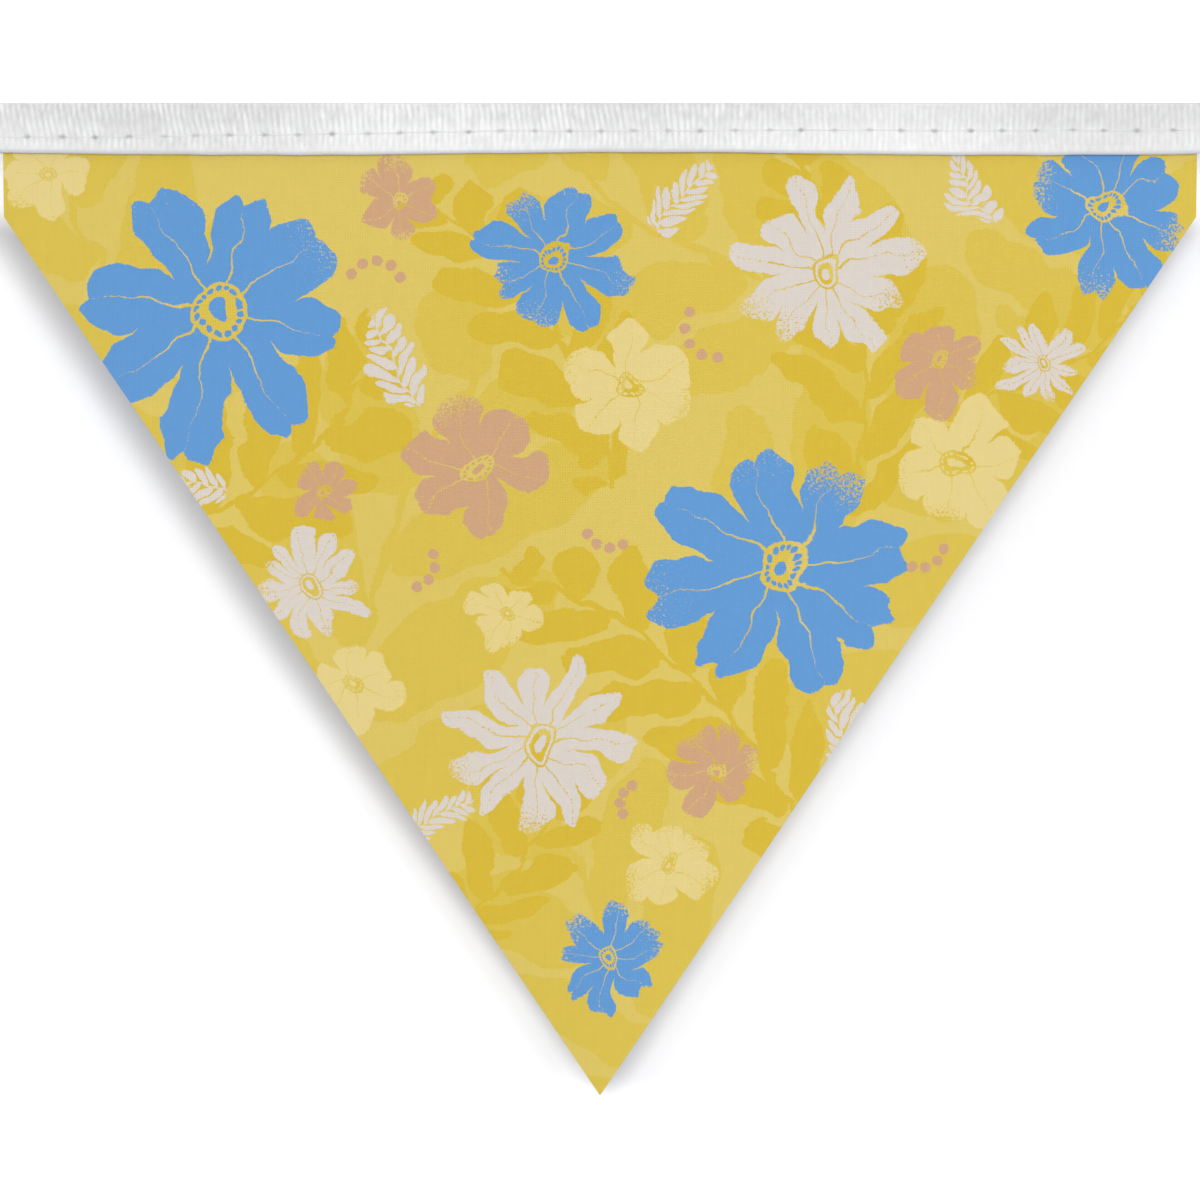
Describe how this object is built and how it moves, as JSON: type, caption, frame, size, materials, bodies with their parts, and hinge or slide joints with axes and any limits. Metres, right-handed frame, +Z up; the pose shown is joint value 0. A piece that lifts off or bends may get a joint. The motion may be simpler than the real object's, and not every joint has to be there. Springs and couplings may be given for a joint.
{
  "type": "fabric bunting",
  "caption": "Flat triangular cotton pennant with a floral print, its top edge stitched into a folded white ribbed tape that runs on past both sides for hanging or joining.",
  "frame": {"origin": "middle of the folded tape's top edge, over the middle of the pennant's thickness", "axes": "+X along the tape, to the right as the printed face is seen; +Z up; -Y the way the printed face looks"},
  "size_m": [0.299, 0.0057, 0.198],
  "materials": {
    "printed_cotton": "plain-weave cotton, screen printed in gold, straw, blue, tan and pale grey",
    "ribbed_tape": "white ribbed tape with a slight sheen",
    "sewing_thread": "white polyester sewing thread"
  },
  "bodies": {
    "root": {"pennant": "printed_cotton", "tape": "ribbed_tape"}
  },
  "joints": []
}
